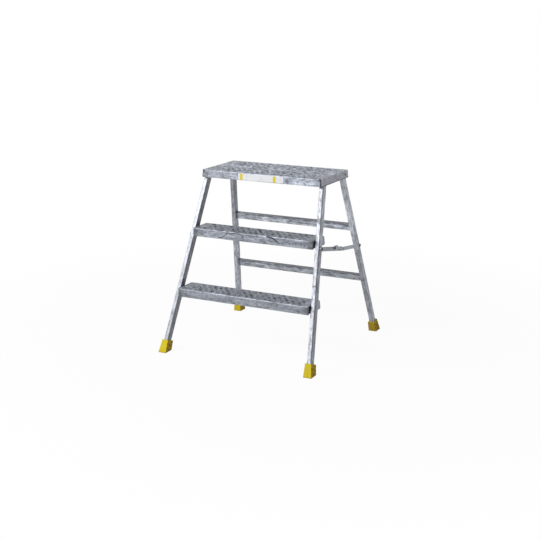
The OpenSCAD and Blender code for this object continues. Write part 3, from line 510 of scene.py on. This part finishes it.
LONG_SCRATCH = ((-0.149, 0.463), (-0.131, 0.467), (-0.121, 0.473), (-0.115, 0.482), (-0.103, 0.488),
                (-0.078, 0.488), (-0.063, 0.491), (-0.045, 0.486))
SHORT_SCRATCH = ((0.067, 0.491), (0.088, 0.488), (0.100, 0.484), (0.119, 0.472))
LIP_SCRATCHES = ((LONG_SCRATCH, 0.0034, 0.80), (SHORT_SCRATCH, 0.0052, 1.0))
STEP_GREY, STEP_FOOT_GREY, STEP_CROWN = 0.275, 0.24, 0.38
STEP_LIPS = {"step_lower": {"lips": (0.33, 0.34)},
             "step_upper": {"lips": (0.36, 0.36), "scratches": LIP_SCRATCHES}}
for step, lip_looks in STEP_LIPS.items():
    sheet_finish(f"{step}_sheet", [step], STEP_GREY, mottle=0.6, **lip_looks)
    rim_finish(f"{step}_rim_metal", hole_rims(f"{step}_hole_rims", [step]), STEP_CROWN, STEP_FOOT_GREY,
               mottle=0.7)

# Step brackets: bent aluminium plate between each step's end and the inner face of its stile.
# Rivets hold one leg to the stile and the other under the tread.

STRIP_GRAIN = ((300.0, 14.0, 300.0), 3.0, 0.6)
# Each bracket takes the default share of painted shade along its foot and its front edge.
for step, dull, bright in (("lower", 0.42, 0.58), ("upper", 0.36, 0.50)):
    plate_finish(f"bracket_plate_{step}", [f"step_bracket_{step}_{side}" for side in SIDES],
                 STRIP_GRAIN, dull, bright)

# Blind rivets: soft bright aluminium, drawn up from one side through the sheet and what carries it.
# Their heads are turned smooth, and dull a little.

RIVET_CLOUDS = (260.0, 3.0, 0.55)


def rivet_finish(name, node_names):
    """Soft aluminium: small clouds of brighter and duller metal."""
    finish = new_finish(name, Metallic=ALUMINIUM_METAL, Roughness=0.4)
    clouds = noise(finish, place(finish), *RIVET_CLOUDS)
    coat(finish, node_names, tinted(finish, swing(finish, clouds, 0.42, 0.62)))


rivet_finish("rivet_metal", ["platform_rivets", "stile_rivets", "step_rivets", "tread_rivets"])

# Plugs: black moulded plastic, pushed into the open ends of the steps behind their rounded front
# corners. Hinge washers are the same plastic.

PLUG_BLACK, PLUG_GRIME = (0.018, 0.018, 0.020, 1.0), (0.045, 0.045, 0.048, 1.0)
GRIME_CLOUDS = (90.0, 4.0, 0.65)
PEBBLES, PEBBLE_DEPTH = (1400.0, 1.0, 0.55), 0.00015


def plastic_finish(name, node_names):
    """Moulded plastic: a fine pebbled skin, and clouds of a grimier black."""
    finish = new_finish(name, Roughness=0.55)
    point = place(finish)
    grime = rise(finish, noise(finish, point, *GRIME_CLOUDS), 0.45, 0.75)
    colour = blended(finish, grime, PLUG_BLACK, PLUG_GRIME)
    coat(finish, node_names, colour, None, noise(finish, point, *PEBBLES), PEBBLE_DEPTH)


plugs = [f"step_plug_{step}_{side}" for step in ("lower", "upper") for side in SIDES]
plastic_finish("black_plastic", plugs + [f"hinge_washer_{side}" for side in SIDES])

# Rear frame: two shallower box tubes and two rungs of flat tube between them, all extruded aluminium.
# It hangs on the hinge bolts. The tubes are scuffed as the front ones are, and their greys are painted
# light as those are. The rungs are darker along their tops.

REAR_RUN = (0.1157, -0.2851, 1.0)
REAR_FRONT = (0.0, -0.96, -0.27)
REAR_GRADE, REAR_PATCHY = (0.36, 0.58), 0.25
# Painted light: each tube's greys by face and height; the right tube's front is painted near white at the
# top, a painted reflection where the platform shades it.
REAR_GREYS = {"left": {"flank": (0.56, 0.27), "face": (0.48, 0.325)},
              "right": {"flank": (0.50, 0.70), "face": (0.39, 0.98)}}
RUNG_RUN = (1.0, 0.0, 0.0)
RUNG_UNDERSIDE = (0.0, 0.0, -1.0)  # it has no streaks, as the front of a stile has none
RUNG_DARK_TOP = (0.013, 0.006)  # how far under the top the darkening starts, and is full
for side in SIDES:
    tube_finish(f"rear_tube_{side}", [f"rear_stile_{side}"], leaning_in(REAR_RUN, side), REAR_FRONT,
                grade=REAR_GRADE, patchy=REAR_PATCHY, **REAR_GREYS[side])
# The stain here only darkens each rung from 13 mm under its top, fully from 6 mm.
for rung, grey in (("lower", 0.45), ("upper", 0.55)):
    rung_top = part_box(f"rear_rung_{rung}")[1][2]
    tube_finish(f"rung_tube_{rung}", [f"rear_rung_{rung}"], RUNG_RUN, RUNG_UNDERSIDE, flank=(grey, grey),
                face=(grey, grey), grade=(0.0, 1.0), patchy=REAR_PATCHY,
                stain=(UPWARD, rung_top - RUNG_DARK_TOP[0], rung_top - RUNG_DARK_TOP[1]))

# Hinge and pivots: zinc-plated steel bolts, nuts, shouldered rivets and spacers.
# The plating is a dull bright grey, and the recess of each head is painted black as shade.

ZINC_DULL, ZINC_BRIGHT = (0.34, 0.35, 0.37, 1.0), (0.52, 0.53, 0.55, 1.0)
RECESS_SHADE_BLACK = (0.012, 0.012, 0.013, 1.0)
SHADE_SPREAD_OUT, SHADE_SPREAD_IN = 0.0006, 0.0004  # how far the painted shade's edge spreads, outward and inward
SIDE_VIEW = (0.0, 1.0, 1.0)
ZINC_CLOUDS = (300.0, 3.0, 0.55)
PIVOTS = {"hinge": (("hinge_bolt", "hinge_nut"), 0.0050),
          "stay_front": (("stay_front_pivot", "stay_front_spacer"), 0.0062),
          "stay_rear": (("stay_rear_pivot", "stay_rear_spacer"), 0.0064),
          "elbow": (("elbow_rivet", "elbow_tail"), 0.0)}


def zinc_finish(name, node_names, axis, recess_shade_r):
    """Zinc plate: grey clouds, going to a black painted shade within a radius of the pivot's axis, in the
    recess of the head. A point's radius is its distance from the axis in y and z."""
    finish = new_finish(name, Metallic=0.6, Roughness=0.42, Specular_IOR_Level=0.15)
    point = place(finish)
    clouds = rise(finish, noise(finish, point, *ZINC_CLOUDS), 0.35, 0.7)
    metal = blended(finish, clouds, ZINC_DULL, ZINC_BRIGHT)
    off_axis = add_node(finish, "VectorMath", {0: point, 1: axis}, operation="SUBTRACT")
    off_axis = add_node(finish, "VectorMath", {0: off_axis, 1: SIDE_VIEW}, operation="MULTIPLY")
    radius = add_node(finish, "VectorMath", {0: off_axis}, output="Value", operation="LENGTH")
    # Painted shade: black in the recess of each head.
    recess_shade = rise(finish, radius, recess_shade_r + SHADE_SPREAD_OUT, recess_shade_r - SHADE_SPREAD_IN)
    coat(finish, node_names, blended(finish, recess_shade, metal, RECESS_SHADE_BLACK))


for pivot, (parts, recess_shade_r) in PIVOTS.items():
    low, high = np.array(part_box(f"{parts[0]}_right"))
    zinc_finish(f"{pivot}_zinc", [f"{part}_{side}" for part in parts for side in SIDES],
                tuple((low + high) / 2), recess_shade_r)

# Stays: two links of aluminium strip on each side, punched and cut, that fold upward at the elbow.
# The rear link's lobe carries the tab that stops the elbow when the legs stand open.

# The stays take a lighter share of painted shade along their foot and front edge.
for end, dull, bright in (("front", 0.46, 0.53), ("rear", 0.58, 0.66)):
    plate_finish(f"stay_strip_{end}", [f"stay_{end}_link_{side}" for side in SIDES],
                 STRIP_GRAIN, dull, bright, edge_shade=0.4)

# Feet: yellow moulded plastic, pushed onto the stiles' ends, with a field of square pockets on both
# sides. Dirt settles along the soles. The pockets and the rear right foot's front get painted shade,
# and the flanks painted bounce light.

FOOT_HALF, FOOT_MOUTH_H, FOOT_WALL = 0.017, 0.044, 0.005
FRONT_MOUTH_W, REAR_MOUTH_W = 0.0166, 0.0186
POCKET_DEPTH = (0.0004, 0.0013)  # how deep under the side the painted shade starts, and is full
SOLE_H, SOLE_SHARE = 0.006, 0.5
# The sole colour is dirt, and the same colour on a front is painted shade; the pocket colour is painted
# shade.
FOOT_DIRT_AND_SHADE, POCKET_SHADE = (0.20, 0.12, 0.020, 1.0), (0.10, 0.045, 0.015, 1.0)
FOOT_CLOUDS = (120.0, 4.0, 0.65)
# Flank yellows are painted light: brighter and warmer, for the light the yellow faces throw on each other.
BOUNCE_LIT_FLANK = (1.0, 0.70, 0.055, 1.0)
FRONT_YELLOWS = {"clean": (0.78, 0.62, 0.022, 1.0), "dull": (0.64, 0.48, 0.020, 1.0),
                 "flank": BOUNCE_LIT_FLANK}
# The rear feet's yellows differ as painted light: the right foot's are brighter, for light reaching its
# shaded side, and its front gets painted shade.
REAR_YELLOWS = {
    "left": {"clean": (0.80, 0.62, 0.022, 1.0), "dull": (0.66, 0.48, 0.020, 1.0),
             "flank": (0.90, 0.64, 0.04, 1.0), "pocket_shade_share": 0.6},
    "right": {"clean": (0.92, 0.63, 0.048, 1.0), "dull": (0.78, 0.51, 0.043, 1.0),
              "flank": BOUNCE_LIT_FLANK, "pocket_shade_share": 0.75, "front_shade": 0.36}}


def foot_finish(name, node_name, mouth_w, splay, clean, dull, flank, pocket_shade_share, front_shade=0.0):
    """Yellow plastic: clean and dull clouds, a brighter flank yellow that is painted bounce light, dirt at
    the sole, and painted shade on the front and in the pockets. How deep a point lies under the tapered
    side is the side's half width at its height, less its distance from the foot's middle line."""
    finish = new_finish(name, Roughness=0.55, Specular_IOR_Level=0.15)
    point = place(finish)
    z = coordinate(finish, "Z")
    outer_x = float(np.abs(np.array(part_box(node_name))[:, 0]).max())
    taper = (FOOT_HALF - FOOT_WALL - mouth_w / 2) / FOOT_MOUTH_H
    middle = sums(finish, "SUBTRACT", outer_x - FOOT_HALF, product(finish, z, splay))
    half = sums(finish, "SUBTRACT", FOOT_HALF, product(finish, z, taper))
    off_middle = apart(finish, sums(finish, "ABSOLUTE", coordinate(finish, "X")), middle)
    depth = sums(finish, "SUBTRACT", half, off_middle)
    sideways = rise(finish, sums(finish, "ABSOLUTE", facing(finish, (1.0, 0.0, 0.0))), 0.6, 0.9)
    clouds = rise(finish, noise(finish, point, *FOOT_CLOUDS), 0.42, 0.8)
    yellow = blended(finish, sideways, blended(finish, clouds, clean, dull), flank)
    sole = product(finish, rise(finish, z, SOLE_H, 0.0), SOLE_SHARE)
    front = product(finish, rise(finish, facing(finish, FORWARD), 0.6, 0.9), front_shade)
    yellow = blended(finish, sums(finish, "MAXIMUM", sole, front), yellow, FOOT_DIRT_AND_SHADE)
    pocket = product(finish, rise(finish, depth, *POCKET_DEPTH), sideways, pocket_shade_share)
    yellow = blended(finish, pocket, yellow, POCKET_SHADE)
    coat(finish, [node_name], yellow, None, noise(finish, point, *PEBBLES), PEBBLE_DEPTH)


for side, pocket_shade_share in zip(SIDES, (0.75, 0.60)):
    foot_finish(f"front_{side}_foot_yellow", f"foot_front_{side}", FRONT_MOUTH_W, FRONT_RUN[0],
                pocket_shade_share=pocket_shade_share, **FRONT_YELLOWS)
    foot_finish(f"rear_{side}_foot_yellow", f"foot_rear_{side}", REAR_MOUTH_W, REAR_RUN[0],
                **REAR_YELLOWS[side])

# Floor and sky: a wide white sheet. The camera and mirror-like metal see it as plain white with the
# trestle's soft shadow, and it throws less light back on the trestle than white paper would.

FLOOR_HALF = 30.0
FLOOR_NEAR, FLOOR_FAR = 0.7, 2.2  # how far from the middle the shadow starts to fade, and is gone
FLOOR_GLOW = 0.95
WHITE, FLOOR_GREY = (1.0, 1.0, 1.0, 1.0), (0.45, 0.45, 0.45, 1.0)
SKY_FILL = 0.16
floor_span = [-FLOOR_HALF, FLOOR_HALF]
floor = grid_piece("floor", np.stack([*np.meshgrid(floor_span, floor_span), np.zeros((2, 2))], axis=-1))


def seen_directly(tree):
    """1 for rays from the camera and those that metal or glass sends on, and 0 for diffuse light."""
    path = tree.nodes.new("ShaderNodeLightPath")
    seen = path.outputs["Is Camera Ray"]
    for ray in ("Is Glossy Ray", "Is Transmission Ray"):
        either = tree.nodes.new("ShaderNodeMath")
        either.operation = "MAXIMUM"
        tree.links.new(seen, either.inputs[0])
        tree.links.new(path.outputs[ray], either.inputs[1])
        seen = either.outputs[0]
    return seen


paper = bpy.data.materials.new("floor_paper")
paper.use_nodes = True
tree = paper.node_tree
tree.nodes.clear()
seen = seen_directly(tree)
from_middle = add_node(paper, "VectorMath", {0: place(paper)}, output="Value", operation="LENGTH")
fade = {"Value": from_middle, "From Min": FLOOR_NEAR, "From Max": FLOOR_FAR,
        "To Min": FLOOR_GLOW, "To Max": 1.0}
glow_share = product(paper, seen, add_node(paper, "MapRange", fade, interpolation_type="SMOOTHSTEP"))
matt = add_node(paper, "BsdfDiffuse", {"Color": blended(paper, seen, FLOOR_GREY, WHITE)})
glow = add_node(paper, "Emission", {"Color": WHITE})
sheet = add_node(paper, "MixShader", {0: glow_share, 1: matt, 2: glow})
tree.links.new(sheet, tree.nodes.new("ShaderNodeOutputMaterial").inputs["Surface"])
floor.data.materials.append(paper)

world = bpy.data.worlds.new("studio")
world.use_nodes = True
bpy.context.scene.world = world
tree = world.node_tree
sky = tree.nodes["Background"]
sky.inputs["Color"].default_value = WHITE
strength = tree.nodes.new("ShaderNodeMapRange")
strength.inputs["To Min"].default_value = SKY_FILL
tree.links.new(seen_directly(tree), strength.inputs["Value"])
tree.links.new(strength.outputs[0], sky.inputs["Strength"])

# Studio lamp: one large soft box, 4.2 by 2 metres, aimed at the middle of the trestle.
# It stands high in front and to the left, where the leaning stiles and the lips mirror it.

AIM = np.array([0.0, -0.05, 0.38])
LAMP_AT = np.array([-1.95, -3.45, 2.75])
LAMP_W, LAMP_H, LAMP_WATTS = 4.2, 2.0, 180.0


def turned_to(place_at, aim):
    """The turn of a lamp or camera that looks along its own -Z, from its place to what it is aimed at:
    its right is level, and its up is square to its right and to its back."""
    back = (place_at - aim) / np.linalg.norm(place_at - aim)
    right = np.cross(UPWARD, back)
    right /= np.linalg.norm(right)
    return np.stack([right, np.cross(back, right), back], axis=1)


def stand(name, data, place_at, turn):
    """Puts a lamp or camera in the scene, from its place and its turn."""
    thing = bpy.data.objects.new(name, data)
    matrix = np.eye(4)
    matrix[:3, :3] = turn
    matrix[:3, 3] = place_at
    thing.matrix_world = Matrix(matrix)
    bpy.context.scene.collection.objects.link(thing)
    return thing


soft_box = bpy.data.lights.new("soft_box", "AREA")
soft_box.shape = "RECTANGLE"
soft_box.size = LAMP_W
soft_box.size_y = LAMP_H
soft_box.energy = LAMP_WATTS
stand("soft_box", soft_box, LAMP_AT, turned_to(LAMP_AT, AIM))

# Camera: it stands where the photograph was taken from, in front and to the right.
# Its place, angles and focal length are those that fit the trestle's edges in the photograph.

CAMERA_AT = np.array([1.933153, -3.825279, 1.434324])
AZIMUTH, ELEVATION = math.radians(26.926), math.radians(14.775)
FOCAL_PIXELS, FRAME_PIXELS = 1071.094, 540
SENSOR_W = 36.0
back = np.array([math.sin(AZIMUTH) * math.cos(ELEVATION), -math.cos(AZIMUTH) * math.cos(ELEVATION),
                 math.sin(ELEVATION)])
lens = bpy.data.cameras.new("camera")
lens.sensor_width = SENSOR_W
lens.lens = SENSOR_W * FOCAL_PIXELS / FRAME_PIXELS
bpy.context.scene.camera = stand("camera", lens, CAMERA_AT, turned_to(CAMERA_AT, CAMERA_AT - back))
bpy.context.scene.view_settings.view_transform = "Standard"
